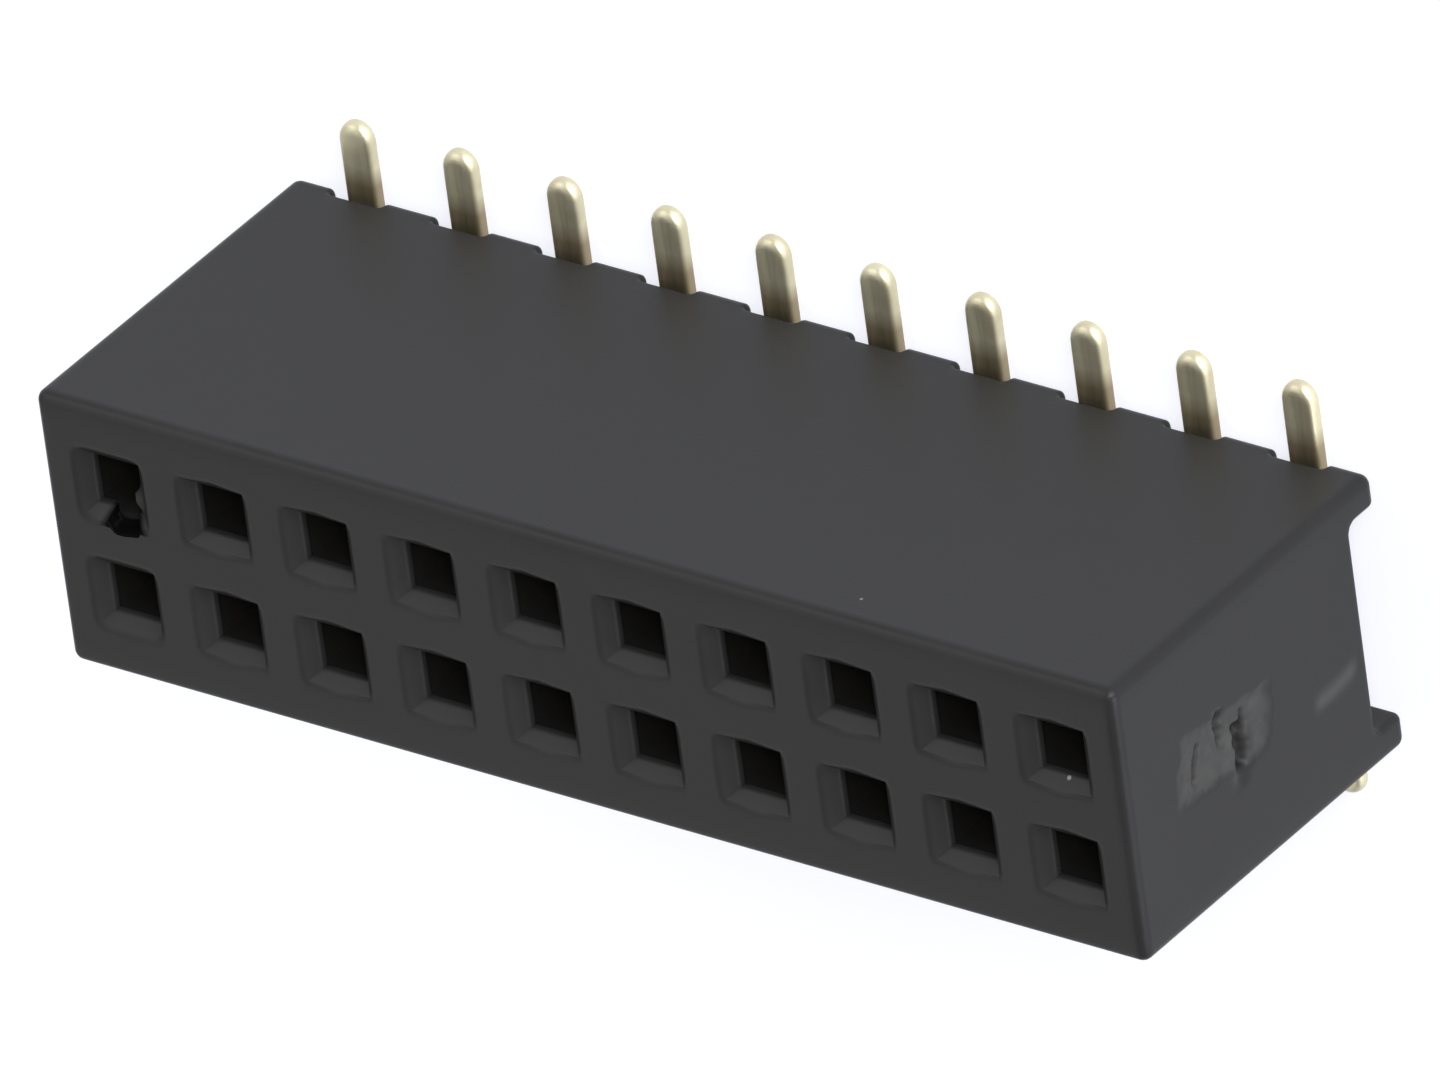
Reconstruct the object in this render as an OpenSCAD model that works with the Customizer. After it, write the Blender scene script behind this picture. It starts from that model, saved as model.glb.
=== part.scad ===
// Two-row surface-mount socket strip for a circuit board: one moulded
// insulator and two rows of stamped spring contacts.
//
// Frame, in millimetres: X runs along the rows, Y runs across them, and +Z
// points out of the mating face. The origin is the centre of the solder
// plane, which the undersides of all the solder feet lie on.

/* [Contact grid] */
// Contacts in each row
positions = 10; // [2:1:20]
// Distance between neighbouring contacts in a row
pitch = 1.27; // [1.20:0.01:2.54]
// Distance between the two rows
row_pitch = 1.27; // [1.20:0.01:1.60]

/* [Insulator] */
// Moulding beyond the centre of the last contact, at each end
end_margin = 0.815; // [0.65:0.005:2.00]
// Width of the moulding across the rows
body_w = 3.14; // [2.90:0.01:3.80]
// Height of the moulding, from the ends of its skirts to the mating face
body_h = 4.44; // [3.60:0.01:8.50]
// Air between the solder plane and the ends of the skirts
standoff = 0.11; // [0.05:0.01:0.30]
// Thickness of the two skirts along the long sides
skirt_t = 0.36; // [0.20:0.01:0.42]
// Depth of the channel between the skirts
skirt_h = 0.46; // [0.33:0.01:0.60]
// Radius in the two inner corners of the channel
channel_r = 0.12; // [0.02:0.01:0.20]
// Radius of the moulding's outer edges
edge_r = 0.11; // [0.02:0.01:0.16]
// Radius of the four upright corners
corner_r = 0.12; // [0.02:0.01:0.20]

/* [Openings of the insulator] */
// Side of the square throat that a pin enters by
throat_w = 0.54; // [0.45:0.01:0.62]
// Length of the throat below its funnel
throat_h = 0.06; // [0.04:0.01:1.00]
// Side of the funnel at the mating face
funnel_w = 0.86; // [0.65:0.01:1.00]
// Depth of the funnel
funnel_h = 0.15; // [0.05:0.01:0.40]
// Play of a contact's box in its chamber, on each side
chamber_play = 0.02; // [0.01:0.005:0.04]
// Play of a solder foot in its notch, on each side
notch_play = 0.14; // [0.05:0.01:0.18]
// Height of a notch above the ends of the skirts
notch_h = 0.16; // [0.10:0.01:0.25]
// Radius of a notch's corners
notch_r = 0.06; // [0.02:0.01:0.07]

/* [Gate scar on one end] */
// Width of the shallow pocket that the gate was broken out of
gate_w = 0.90; // [0.40:0.05:1.60]
// Height of the pocket
gate_h = 1.30; // [0.60:0.05:2.00]
// Depth of the pocket
gate_depth = 0.05; // [0.02:0.01:0.10]
// Height of the pocket's centre above the ends of the skirts
gate_z = 2.80; // [1.50:0.05:2.90]
// Torn ribs left in the pocket
gate_ribs = 3; // [1:1:5]

/* [Contacts] */
// Thickness of the strip that the contacts are stamped from
strip_t = 0.15; // [0.10:0.01:0.18]
// Width of a contact's box along the row
box_w = 0.80; // [0.70:0.01:0.84]
// Depth of the box across the row
box_d = 0.76; // [0.60:0.01:0.80]
// Height of the box above the floor of the channel
box_h = 1.25; // [0.90:0.05:1.60]
// Inner radius of the two folds of the box
fold_r = 0.03; // [0.01:0.01:0.06]
// Height of the retaining barbs lanced out of the box's side walls
barb_h = 0.12; // [0.06:0.01:0.20]
// Width of the barbs
barb_w = 0.20; // [0.10:0.01:0.30]
// Open gap between the two beams where they grip a pin
grip_gap = 0.24; // [0.10:0.02:0.34]
// Drop from the end of the throat to the tips of the beams
tip_drop = 0.80; // [0.05:0.05:1.20]
// Length of the flared tips above the grip
flare_h = 0.42; // [0.30:0.02:0.60]
// Width of a beam where it leaves the box
beam_root_w = 0.52; // [0.40:0.01:0.58]
// Width of a beam at its tip
beam_tip_w = 0.34; // [0.20:0.01:0.40]
// How far the stop shoulders stand out past the chamber, on each side
shoulder_out = 0.07; // [0.03:0.01:0.12]
// Height of the stop shoulders
shoulder_h = 0.10; // [0.05:0.01:0.12]
// Width of the tail and the solder foot
foot_w = 0.38; // [0.25:0.01:0.50]
// How far a foot reaches out past the side of the moulding
foot_reach = 0.80; // [0.50:0.01:1.50]
// Radius coined on the upper edge of a foot's tip
tip_r = 0.08; // [0.02:0.01:0.09]
// Inner radius of the tail's bend
bend_r = 0.10; // [0.05:0.01:0.12]

/* [Hidden] */
ROWS = ["a", "b"];
CONTACTS = [for (row = ROWS) for (i = [1:positions]) str("contact_", row, i)];
$fn = 48;
eps = 0.01;

body_l = (positions - 1) * pitch + 2 * end_margin;
body_top = standoff + body_h;
channel_z = standoff + skirt_h;
chamber_w = box_w + 2 * chamber_play;
chamber_d = box_d + 2 * chamber_play;
chamber_top = body_top - funnel_h - throat_h;
// The channel's fillet stays clear of the contacts' outer faces.
channel_fillet = min(channel_r, body_w / 2 - skirt_t - row_pitch / 2 - box_d / 2);
notch_w = foot_w + 2 * notch_play;
notch_z = standoff + notch_h;
gate_rib_w = gate_w * 0.62;
gate_rib_t = gate_h / (2 * gate_ribs + 1);

// The box of a contact, measured outwards from the middle of its chamber.
box_in = -box_d / 2;
box_out = box_d / 2;
box_top = channel_z + box_h;
beam_top = chamber_top - tip_drop;
grip_z = beam_top - flare_h;
foot_end = body_w / 2 + foot_reach - row_pitch / 2;
arc_steps = 10;
// Heights of the two pairs of barbs, as shares of the box's height.
barb_levels = [0.25, 0.55];

function contact_x(i) = (i - (positions + 1) / 2) * pitch;
function unit(v) = v / norm(v);
function left_of(v) = [-v[1], v[0]];

// The direction of a path at point i, and the sideways step that keeps a
// strip of constant thickness round the corner there.
function run(p, i) = unit(p[i + 1] - p[i]);
function miter(p, i) =
    i == 0 ? left_of(run(p, 0)) :
    i == len(p) - 1 ? left_of(run(p, i - 1)) :
    let (n = left_of(unit(run(p, i - 1) + run(p, i)))) n / (n * left_of(run(p, i)));

// The outline of a strip of thickness t that is bent along the path p.
function strip_outline(p, t) = concat(
    [for (i = [0:len(p) - 1]) p[i] + miter(p, i) * t / 2],
    [for (i = [len(p) - 1:-1:0]) p[i] - miter(p, i) * t / 2]);

// Points on an arc about c, from angle a0 to angle a1.
function arc(c, r, a0, a1) =
    [for (s = [0:arc_steps]) let (a = a0 + (a1 - a0) * s / arc_steps) c + r * [cos(a), sin(a)]];

// A smooth step from 0 to 1.
function ease(s) = (1 - cos(180 * s)) / 2;

// A square corner less its round, drawn at p and pointing inwards along (sx, sy).
module corner_cut(p, sx, sy, r) {
    translate(p)
        scale([sx, sy])
            difference() {
                translate([-eps, -eps])
                    square(r + eps);
                translate([r, r])
                    circle(r);
            }
}

// A rectangle from (x0, y0) to (x1, y1) with radius r0 at its lower corners
// and r1 at its upper ones.
module plate(x0, y0, x1, y1, r0, r1) {
    difference() {
        translate([x0, y0])
            square([x1 - x0, y1 - y0]);
        corner_cut([x0, y0], 1, 1, r0);
        corner_cut([x1, y0], -1, 1, r0);
        corner_cut([x0, y1], 1, -1, r1);
        corner_cut([x1, y1], -1, -1, r1);
    }
}

// Extrudes an outline drawn in Y and Z along X, or one drawn in X and Z along
// Y, over a length l that is centred on the origin.
module along_x(l) {
    rotate([90, 0, 90])
        linear_extrude(l, center = true)
            children();
}

module along_y(l) {
    rotate([90, 0, 0])
        linear_extrude(l, center = true)
            children();
}

// The section across the rows: a block whose underside is an open channel.
module housing_section() {
    difference() {
        plate(-body_w / 2, standoff, body_w / 2, body_top, edge_r, edge_r);
        plate(-body_w / 2 + skirt_t, -1, body_w / 2 - skirt_t, channel_z, edge_r, channel_fillet);
    }
}

// A notch in both skirts, with a fillet in its roof and a round at its mouth.
module notch_outline() {
    plate(-notch_w / 2, -1, notch_w / 2, notch_z, edge_r, notch_r);
    for (side = [-1, 1])
        difference() {
            translate([side * (notch_w + notch_r) / 2, standoff + (notch_r - eps) / 2])
                square([notch_r + eps, notch_r + eps], center = true);
            translate([side * (notch_w / 2 + notch_r), standoff + notch_r])
                circle(notch_r);
        }
}

// Trapezoid of the funnel, open at the mating face.
module funnel_outline() {
    rim = throat_w / 2 + (funnel_w - throat_w) / 2 * (1 + eps / funnel_h);
    polygon([
        [-throat_w / 2, body_top - funnel_h],
        [throat_w / 2, body_top - funnel_h],
        [rim, body_top + eps],
        [-rim, body_top + eps]]);
}

// The way in for a pin and the chamber that holds the contact.
module cavity() {
    intersection() {
        along_x(funnel_w * 2)
            funnel_outline();
        along_y(funnel_w * 2)
            funnel_outline();
    }
    translate([-throat_w / 2, -throat_w / 2, chamber_top - eps])
        cube([throat_w, throat_w, throat_h + 2 * eps]);
    translate([-chamber_w / 2, -chamber_d / 2, 0])
        cube([chamber_w, chamber_d, chamber_top]);
}

// The pocket on the +X end, and the torn ribs that stand in it.
module gate_pocket() {
    translate([body_l / 2, 0, standoff + gate_z])
        rotate([90, 0, 90])
            linear_extrude(2 * gate_depth, center = true)
                plate(-gate_w / 2, -gate_h / 2, gate_w / 2, gate_h / 2, gate_w / 4, gate_w / 4);
}

module gate_rib_row() {
    for (i = [1:gate_ribs])
        translate([body_l / 2 - gate_depth - eps, 0, standoff + gate_z + (2 * i - gate_ribs - 1) * gate_rib_t])
            rotate([0, 90, 0])
                linear_extrude(gate_depth)
                    plate(-gate_rib_t / 2, -gate_rib_w / 2, gate_rib_t / 2, gate_rib_w / 2,
                        gate_rib_t / 3, gate_rib_t / 3);
}

module housing() {
    color([0.17, 0.17, 0.18]) {
        difference() {
            intersection() {
                along_x(body_l)
                    housing_section();
                along_y(body_w)
                    plate(-body_l / 2, standoff, body_l / 2, body_top, edge_r, edge_r);
                linear_extrude(body_top)
                    plate(-body_l / 2, -body_w / 2, body_l / 2, body_w / 2, corner_r, corner_r);
            }
            for (i = [1:positions])
                translate([contact_x(i), 0, 0]) {
                    along_y(body_w * 2)
                        notch_outline();
                    for (side = [-1, 1])
                        translate([0, side * row_pitch / 2, 0])
                            cavity();
                }
            gate_pocket();
        }
        gate_rib_row();
    }
}

// Tail and foot: the strip comes down the outer side of the box, bends
// through a right angle and lies flat on the board. Drawn in Y and Z, with
// the upper edge of the tip coined round.
module tail_outline() {
    path = concat(
        [[box_out - strip_t / 2, channel_z]],
        arc([box_out + bend_r, strip_t + bend_r], bend_r + strip_t / 2, 180, 270),
        [[foot_end, strip_t / 2]]);
    difference() {
        polygon(strip_outline(path, strip_t));
        corner_cut([foot_end, strip_t], -1, -1, tip_r);
    }
}

// Plan of the tail, with the foot's round tip.
module tail_plan() {
    translate([-foot_w / 2, box_in])
        square([foot_w, foot_end - foot_w / 2 - box_in]);
    translate([0, foot_end - foot_w / 2])
        circle(foot_w / 2);
}

module tail() {
    intersection() {
        along_x(foot_w)
            tail_outline();
        linear_extrude(channel_z)
            tail_plan();
    }
}

// Plan of the box: the strip folded round into a U that opens inwards.
module box_plan() {
    difference() {
        plate(-box_w / 2, box_in, box_w / 2, box_out, eps, fold_r + strip_t);
        plate(-box_w / 2 + strip_t, box_in - 1, box_w / 2 - strip_t, box_out - strip_t, eps, fold_r);
    }
}

// A barb on a side wall, in X and Z: a wedge that slides in and bites back.
module barb_outline(side) {
    polygon([
        [side * (box_w / 2 - strip_t / 2), 0],
        [side * (box_w / 2 + chamber_play), 0],
        [side * box_w / 2, barb_h],
        [side * (box_w / 2 - strip_t / 2), barb_h]]);
}

// The box, its stop shoulders below, and two pairs of barbs.
module box() {
    translate([0, 0, channel_z - eps])
        linear_extrude(box_h + eps)
            box_plan();
    translate([0, box_out - strip_t / 2, channel_z - shoulder_h / 2])
        cube([chamber_w + 2 * shoulder_out, strip_t, shoulder_h], center = true);
    for (side = [-1, 1])
        for (level = barb_levels)
            translate([0, 0, channel_z + level * box_h])
                along_y(barb_w)
                    barb_outline(side);
}

// One beam, drawn in X and Z: it rises out of a side wall, leans in to the
// grip in a smooth curve, and flares out again as a lead-in for the pin.
module beam_outline(side) {
    x_root = box_w / 2 - strip_t / 2;
    x_grip = grip_gap / 2 + strip_t / 2;
    x_tip = min(x_root, x_grip + flare_h / 3);
    path = concat(
        [[side * x_root, box_top - strip_t]],
        [for (s = [0:0.1:1]) [side * (x_root + (x_grip - x_root) * ease(s)), box_top + (grip_z - box_top) * s]],
        [for (s = [0.2:0.2:1]) [side * (x_grip + (x_tip - x_grip) * s * s), grip_z + flare_h * s]]);
    polygon(strip_outline(path, strip_t));
}

// Side view of a beam, in Y and Z: it tapers from root to tip.
module beam_taper() {
    polygon([
        [-beam_root_w / 2, box_top - strip_t],
        [beam_root_w / 2, box_top - strip_t],
        [beam_tip_w / 2, beam_top + strip_t],
        [-beam_tip_w / 2, beam_top + strip_t]]);
}

module beams() {
    intersection() {
        along_y(box_d) {
            beam_outline(-1);
            beam_outline(1);
        }
        along_x(box_w)
            beam_taper();
    }
}

// A whole contact. Row a faces +Y and row b is turned to face -Y.
module contact(row, i) {
    color([0.79, 0.73, 0.55])
        translate([contact_x(i), 0, 0])
            rotate([0, 0, row == "a" ? 0 : 180])
                translate([0, row_pitch / 2, 0]) {
                    tail();
                    box();
                    beams();
                }
}

housing();
for (row = ROWS)
    for (i = [1:positions])
        contact(row, i);
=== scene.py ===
# %% [markdown]
# # A two-row surface-mount socket strip
#
# The part is a black moulded block with twenty square openings, and twenty stamped contacts that leave it as flat
# solder feet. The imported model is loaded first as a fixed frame. It gives every size and place that follows.

import bpy
import numpy as np
from mathutils import Matrix, Vector
from mathutils.geometry import delaunay_2d_cdt


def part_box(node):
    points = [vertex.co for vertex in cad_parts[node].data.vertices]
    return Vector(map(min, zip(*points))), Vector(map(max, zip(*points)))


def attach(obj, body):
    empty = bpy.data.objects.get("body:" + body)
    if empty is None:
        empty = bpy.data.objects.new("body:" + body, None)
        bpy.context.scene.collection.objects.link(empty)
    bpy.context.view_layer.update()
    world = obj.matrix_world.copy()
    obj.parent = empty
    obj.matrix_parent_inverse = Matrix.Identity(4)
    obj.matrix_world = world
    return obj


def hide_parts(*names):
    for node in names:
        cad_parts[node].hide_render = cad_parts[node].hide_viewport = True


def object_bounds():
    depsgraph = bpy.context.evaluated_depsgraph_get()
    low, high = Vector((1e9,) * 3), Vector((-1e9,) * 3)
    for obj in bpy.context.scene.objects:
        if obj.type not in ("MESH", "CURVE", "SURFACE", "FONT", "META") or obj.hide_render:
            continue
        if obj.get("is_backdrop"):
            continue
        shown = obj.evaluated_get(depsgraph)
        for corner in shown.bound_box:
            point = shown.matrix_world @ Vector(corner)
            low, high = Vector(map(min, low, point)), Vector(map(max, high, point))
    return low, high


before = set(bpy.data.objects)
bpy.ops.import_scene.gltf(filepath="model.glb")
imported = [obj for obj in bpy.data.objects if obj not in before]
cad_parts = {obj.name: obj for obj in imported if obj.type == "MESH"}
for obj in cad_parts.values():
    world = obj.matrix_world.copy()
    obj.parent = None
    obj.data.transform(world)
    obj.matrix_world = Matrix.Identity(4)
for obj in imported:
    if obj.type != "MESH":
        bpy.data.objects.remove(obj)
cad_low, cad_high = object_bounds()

MM = 0.001
housing_low, housing_high = (np.round(np.array(c) / MM, 4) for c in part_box("housing"))
contact_nodes = sorted(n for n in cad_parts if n.startswith("contact_"))
row_a = [n for n in contact_nodes if n.startswith("contact_a")]
print("housing from", housing_low.round(3), "to", housing_high.round(3), "mm;", len(contact_nodes), "contacts")

# %% [markdown]
# ## Sizes
#
# Everything below is worked out in millimetres and scaled once, when a mesh is made. The block's size and the
# places of the contacts come from the frame. What the frame doesn't say is named here once: the openings, the
# strip's thickness and the small radii.

# %% Sizes in millimetres
BODY_L, BODY_W = (housing_high - housing_low)[:2]
SKIRT_END, BODY_TOP = housing_low[2], housing_high[2]
PITCH = 1.27
ROW_Y = PITCH / 2
COLUMN_X = (np.arange(len(row_a)) - (len(row_a) - 1) / 2) * PITCH

EDGE_R = 0.12
SKIRT_T, SKIRT_H, SKIRT_R, CHANNEL_R = 0.36, 0.46, 0.06, 0.12
NOTCH_HALF, NOTCH_H, NOTCH_R, MOUTH_R = 0.33, 0.16, 0.06, 0.04
THROAT_HALF, THROAT_H, THROAT_R = 0.27, 0.06, 0.01
FUNNEL_HALF, FUNNEL_H, RIM_R = 0.43, 0.15, 0.10
CHAMBER_X, CHAMBER_Y = 0.42, 0.40
CHANNEL_Z = SKIRT_END + SKIRT_H
NOTCH_Z = SKIRT_END + NOTCH_H
FUNNEL_Z = BODY_TOP - FUNNEL_H
CHAMBER_Z = FUNNEL_Z - THROAT_H

STRIP_T = 0.15
print(f"block {BODY_L:.2f} x {BODY_W:.2f} mm, top at {BODY_TOP:.2f} mm, skirts end at {SKIRT_END:.2f} mm")

# %% [markdown]
# ## Camera
#
# The camera stands far off with a long focal length, as is usual for a small part, so that parallel edges stay
# nearly parallel. It looks down on the end, one long side and the mating face together, and it is rolled so that the
# rows run from side to side.

# %% Camera
CAMERA_AZIMUTH, CAMERA_ELEVATION, CAMERA_ROLL = np.radians([43.82, 40.91, -130.02])
CAMERA_DISTANCE = 462.3 * MM
CAMERA_LENS = 1180
AIM = Vector((0, 0, 2.4)) * MM
AIM_RIGHT, AIM_UP = 0.059 * MM, 0.298 * MM

back = Vector((
    np.cos(CAMERA_ELEVATION) * np.cos(CAMERA_AZIMUTH),
    np.cos(CAMERA_ELEVATION) * np.sin(CAMERA_AZIMUTH),
    np.sin(CAMERA_ELEVATION)))
level_right = Vector((0, 0, 1)).cross(back).normalized()
turn = Matrix.Rotation(CAMERA_ROLL, 3, back)
right = turn @ level_right
up = back.cross(right)
camera = bpy.data.objects.new("camera", bpy.data.cameras.new("camera"))
camera.data.lens = CAMERA_LENS
camera.data.sensor_width = 36
camera.data.clip_start, camera.data.clip_end = 0.01, 2
stand = AIM + right * AIM_RIGHT + up * AIM_UP + back * CAMERA_DISTANCE
camera.matrix_world = Matrix.Translation(stand) @ Matrix((right, up, back)).transposed().to_4x4()
bpy.context.scene.collection.objects.link(camera)
bpy.context.scene.camera = camera
print("camera at", [round(c, 4) for c in stand], "m")

# %% [markdown]
# ## From arrays to a piece
#
# One helper turns an array of points and arrays of faces into a mesh and marks the edges that turn sharply. It also
# hangs the piece on its body and hides the imported solid that it stands for.

# %% Make a piece
SHARP_DEG = 35


def add_piece(name, points, faces, node):
    """A mesh from points in mm, n by 3, and a list of face arrays, with 4 or 3 point numbers in a row."""
    loops = np.concatenate([f.ravel() for f in faces])
    counts = np.concatenate([np.full(len(f), f.shape[1]) for f in faces])
    mesh = bpy.data.meshes.new(name)
    mesh.vertices.add(len(points))
    mesh.vertices.foreach_set("co", (points * MM).astype(np.float32).ravel())
    mesh.loops.add(len(loops))
    mesh.loops.foreach_set("vertex_index", loops.astype(np.int32))
    mesh.polygons.add(len(counts))
    mesh.polygons.foreach_set("loop_start", (np.cumsum(counts) - counts).astype(np.int32))
    mesh.update(calc_edges=True)
    mesh.polygons.foreach_set("use_smooth", np.ones(len(counts), bool))
    mesh.set_sharp_from_angle(angle=np.radians(SHARP_DEG))
    piece = bpy.data.objects.new(name, mesh)
    bpy.context.scene.collection.objects.link(piece)
    even = piece.modifiers.new("even_shading", "WEIGHTED_NORMAL")
    even.keep_sharp = True
    even.weight = 100
    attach(piece, "root")
    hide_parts(node)
    return piece


print("edges that turn by more than", SHARP_DEG, "degrees are shaded sharp")

# %% [markdown]
# ## Rounded edges from distances
#
# Moulded and stamped edges are never sharp. Here an edge is a place where two distances meet: the distance to one
# wall and the distance to the other. Their greater value gives a sharp corner, and a small change to it gives a
# round one. The same function makes the block's outer edges, the fillets in its channel and the mouths of its
# notches, so no bevel has to be picked by hand.

# %% Distances and roundings
def round_max(a, b, radius):
    """The greater of two distances, with the corner between them turned into an arc of that radius."""
    corner = np.hypot(np.maximum(a + radius, 0), np.maximum(b + radius, 0))
    return np.minimum(np.maximum(a, b), -radius) + corner


ROUND_STEPS = 1 - np.tan(np.radians([45, 30, 15, 0]))


def beside(edge, radius, sign):
    """Lines next to a rounded edge, at equal steps of its arc: edge + sign * radius * (1 - tan a)."""
    return edge + sign * radius * ROUND_STEPS


def mirrored(*groups):
    """The given values and their negatives, in order and without repeats."""
    values = np.concatenate([np.atleast_1d(g) for g in groups])
    return np.unique(np.round(np.concatenate([-values, values]), 5))


print("steps beside a rounded edge:", ROUND_STEPS.round(3))

# %% [markdown]
# ## The block as a grid of cells
#
# Every wall of the moulding lies along X, Y or Z, so the block can be written as a grid of cells that are either
# plastic or air. The grid has lines only where a wall, a slope or a rounding needs them. The skin is then every cell
# side with plastic on one side of it and air on the other: it is closed by its nature, and it faces outwards.
# Cutting sixty openings by booleans would also work, but it leaves slivers at the corners.

# %% Grid lines
SAME = 1e-4
INNER_WALL = BODY_W / 2 - SKIRT_T
RIM_TURN = np.pi / 2 - np.arctan((FUNNEL_HALF - THROAT_HALF) / FUNNEL_H)
rim_drops = RIM_R * (1 - np.cos(RIM_TURN * np.linspace(0, 1, 6)))
mouth_steps = THROAT_HALF * np.linspace(-1, 1, 9)
CHIP_X = mouth_steps[[3, 7]]

beside_column = mirrored(
    [0, PITCH / 2, THROAT_HALF, CHAMBER_X],
    beside(NOTCH_HALF, MOUTH_R, 1), beside(NOTCH_HALF, NOTCH_R, -1))
x_lines = np.unique(np.round(np.concatenate([
    mirrored(beside(BODY_L / 2, EDGE_R, -1)),
    (COLUMN_X[:, None] + beside_column).ravel(), COLUMN_X[0] + mouth_steps]), 5))
x_lines = x_lines[np.diff(x_lines, prepend=-BODY_L) > SAME]
y_lines = mirrored(
    [0, ROW_Y - CHAMBER_Y, ROW_Y + CHAMBER_Y, ROW_Y - (CHAMBER_Y + THROAT_HALF) / 2], ROW_Y + mouth_steps,
    beside(BODY_W / 2, EDGE_R, -1), beside(BODY_W / 2, MOUTH_R, -1),
    beside(INNER_WALL, CHANNEL_R, -1), beside(INNER_WALL, SKIRT_R, 1))
z_lines = np.unique(np.round(np.concatenate([
    beside(SKIRT_END, EDGE_R, 1), beside(SKIRT_END, SKIRT_R, 1),
    beside(NOTCH_Z, NOTCH_R, -1), beside(NOTCH_Z, MOUTH_R, 1), beside(CHANNEL_Z, CHANNEL_R, -1),
    beside(CHANNEL_Z, SKIRT_R, 1), np.linspace(CHANNEL_Z + 0.1, CHAMBER_Z, 6),
    FUNNEL_Z + THROAT_R * np.array([-2, 0, 2]), np.linspace(FUNNEL_Z + 0.03, BODY_TOP - 0.035, 3),
    beside(BODY_TOP, EDGE_R, -1), BODY_TOP - rim_drops]), 5))
print("lines:", len(x_lines), "along X,", len(y_lines), "along Y,", len(z_lines), "along Z")

# %% Cells of plastic and air
def middles(lines):
    """The middle of each gap between neighbouring lines."""
    return (lines[1:] + lines[:-1]) / 2


def from_column(x):
    """The number of the nearest contact column, and how far x lies from its middle."""
    number = np.abs(x[..., None] - COLUMN_X).argmin(-1)
    return number, x - COLUMN_X[number]


cell_x, cell_y, cell_z = np.meshgrid(middles(x_lines), middles(y_lines), middles(z_lines), indexing="ij")
cell_column, across = from_column(cell_x)
off_x, off_y = np.abs(across), np.abs(np.abs(cell_y) - ROW_Y)
channel = (np.abs(cell_y) < INNER_WALL) & (cell_z < CHANNEL_Z)
notches = (off_x < NOTCH_HALF) & (cell_z < NOTCH_Z)
chambers = (off_x < CHAMBER_X) & (off_y < CHAMBER_Y) & (cell_z < CHAMBER_Z)
throats = (off_x < THROAT_HALF) & (off_y < THROAT_HALF) & (cell_z > CHAMBER_Z)
in_chip_x = (cell_column == 0) & (across > CHIP_X[0]) & (across < CHIP_X[1])
chip = in_chip_x & (cell_y > ROW_Y - CHAMBER_Y) & (cell_y < ROW_Y) & (cell_z > CHAMBER_Z)
plastic = ~(channel | notches | chambers | throats | chip)
print(plastic.sum(), "cells of plastic and", (~plastic).sum(), "of air")

# %% Skin of the cells
def skin(solid):
    """Cell sides between solid and air, as rows of four grid points that turn left as seen from the air."""
    padded = np.pad(solid, 1).astype(np.int8)
    sides = []
    for axis in range(3):
        first, second = (axis + 1) % 3, (axis + 2) % 3
        inner = tuple(slice(None) if a == axis else slice(1, -1) for a in range(3))
        change = np.diff(padded, axis=axis)[inner]
        for sign in (-1, 1):
            low = np.argwhere(change == sign)
            corners = np.repeat(low[:, None, :], 4, axis=1)
            corners[:, 1:3, first] += 1
            corners[:, 2:4, second] += 1
            sides.append(corners if sign < 0 else corners[:, ::-1])
    flat = np.ravel_multi_index(np.concatenate(sides).reshape(-1, 3).T, np.array(solid.shape) + 1)
    used, quads = np.unique(flat, return_inverse=True)
    return used, quads.reshape(-1, 4)


used, block_quads = skin(plastic)
point_x, point_y, point_z = np.unravel_index(used, np.array(plastic.shape) + 1)
raw = np.stack([x_lines[point_x], y_lines[point_y], z_lines[point_z]], 1)
print(len(raw), "points and", len(block_quads), "faces in the skin")

# %% [markdown]
# ## Rounding the block
#
# A point of the square skin slides along the slope of the distance to the rounded block until that distance is
# nought. On a flat wall it is nought already, so the point stays. Four steps are enough near an edge. The walls of
# the openings are left out, because their shape is worked out by itself below.

# %% Slide the skin onto the rounded block
def block_distance(p):
    """Distance to the block: a rounded box, less the rounded channel, less the rounded notches."""
    x, y, z = p.T
    offset = from_column(x)[1]
    ends = round_max(np.abs(x) - BODY_L / 2, np.abs(y) - BODY_W / 2, EDGE_R)
    caps = np.abs(z - (SKIRT_END + BODY_TOP) / 2) - (BODY_TOP - SKIRT_END) / 2
    outer = round_max(ends, caps, EDGE_R)
    below = round_max(np.abs(y) - INNER_WALL, z - CHANNEL_Z, CHANNEL_R)
    notch = round_max(np.abs(offset) - NOTCH_HALF, z - NOTCH_Z, NOTCH_R)
    return round_max(round_max(outer, -below, SKIRT_R), -notch, MOUTH_R)


def slide(p, distance, steps=4, h=1e-4):
    """p' = p - f * g / |g|^2, where f is the distance at p and g its slope, repeated."""
    for _ in range(steps):
        slope = np.stack([(distance(p + e) - distance(p - e)) / (2 * h) for e in np.eye(3) * h], 1)
        p = p - slope * (distance(p) / np.maximum((slope ** 2).sum(1), 0.2))[:, None]
    return p


column, off_x = from_column(raw[:, 0])
side = np.where(raw[:, 1] < 0, -1, 1)
off_y = raw[:, 1] - side * ROW_Y
ring = np.maximum(np.maximum(np.abs(off_x), np.abs(off_y)), 1e-6)
in_opening = (np.abs(off_x) <= CHAMBER_X + SAME) & (np.abs(off_y) <= CHAMBER_Y + SAME) & (raw[:, 2] > CHANNEL_Z)
on_wall = in_opening & (raw[:, 2] < BODY_TOP)
on_top = raw[:, 2] == BODY_TOP
block = np.where(on_wall[:, None], raw, slide(raw, block_distance))
print(f"farthest slide {np.linalg.norm(block - raw, axis=1).max():.3f} mm,",
      f"left over {np.abs(block_distance(block[~on_wall])).max():.5f} mm")

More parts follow.
